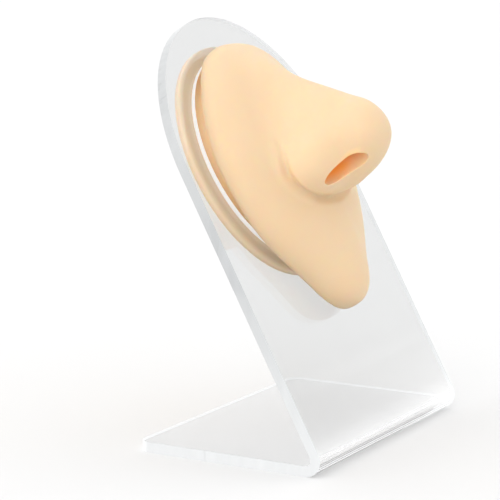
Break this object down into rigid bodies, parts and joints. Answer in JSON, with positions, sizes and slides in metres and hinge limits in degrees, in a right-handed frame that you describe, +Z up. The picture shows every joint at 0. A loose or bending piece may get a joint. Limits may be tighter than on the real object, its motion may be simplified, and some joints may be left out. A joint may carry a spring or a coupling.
{
  "type": "silicone display nose on clear acrylic stand",
  "caption": "Soft skin-coloured silicone nose on a leaf-shaped face plate, snapped through the round hole of a bent clear acrylic stand that leans back.",
  "frame": {"origin": "middle of the base's flat underside", "axes": "+Z up, the nose faces -Y, and +X runs across it from side to side"},
  "size_m": [0.09, 0.0655, 0.1217],
  "materials": {
    "clear_acrylic": "clear polished sheet",
    "skin_silicone": "soft matte skin"
  },
  "bodies": {
    "root": {"acrylic_stand": "clear_acrylic", "silicone_nose": "skin_silicone"}
  },
  "joints": []
}
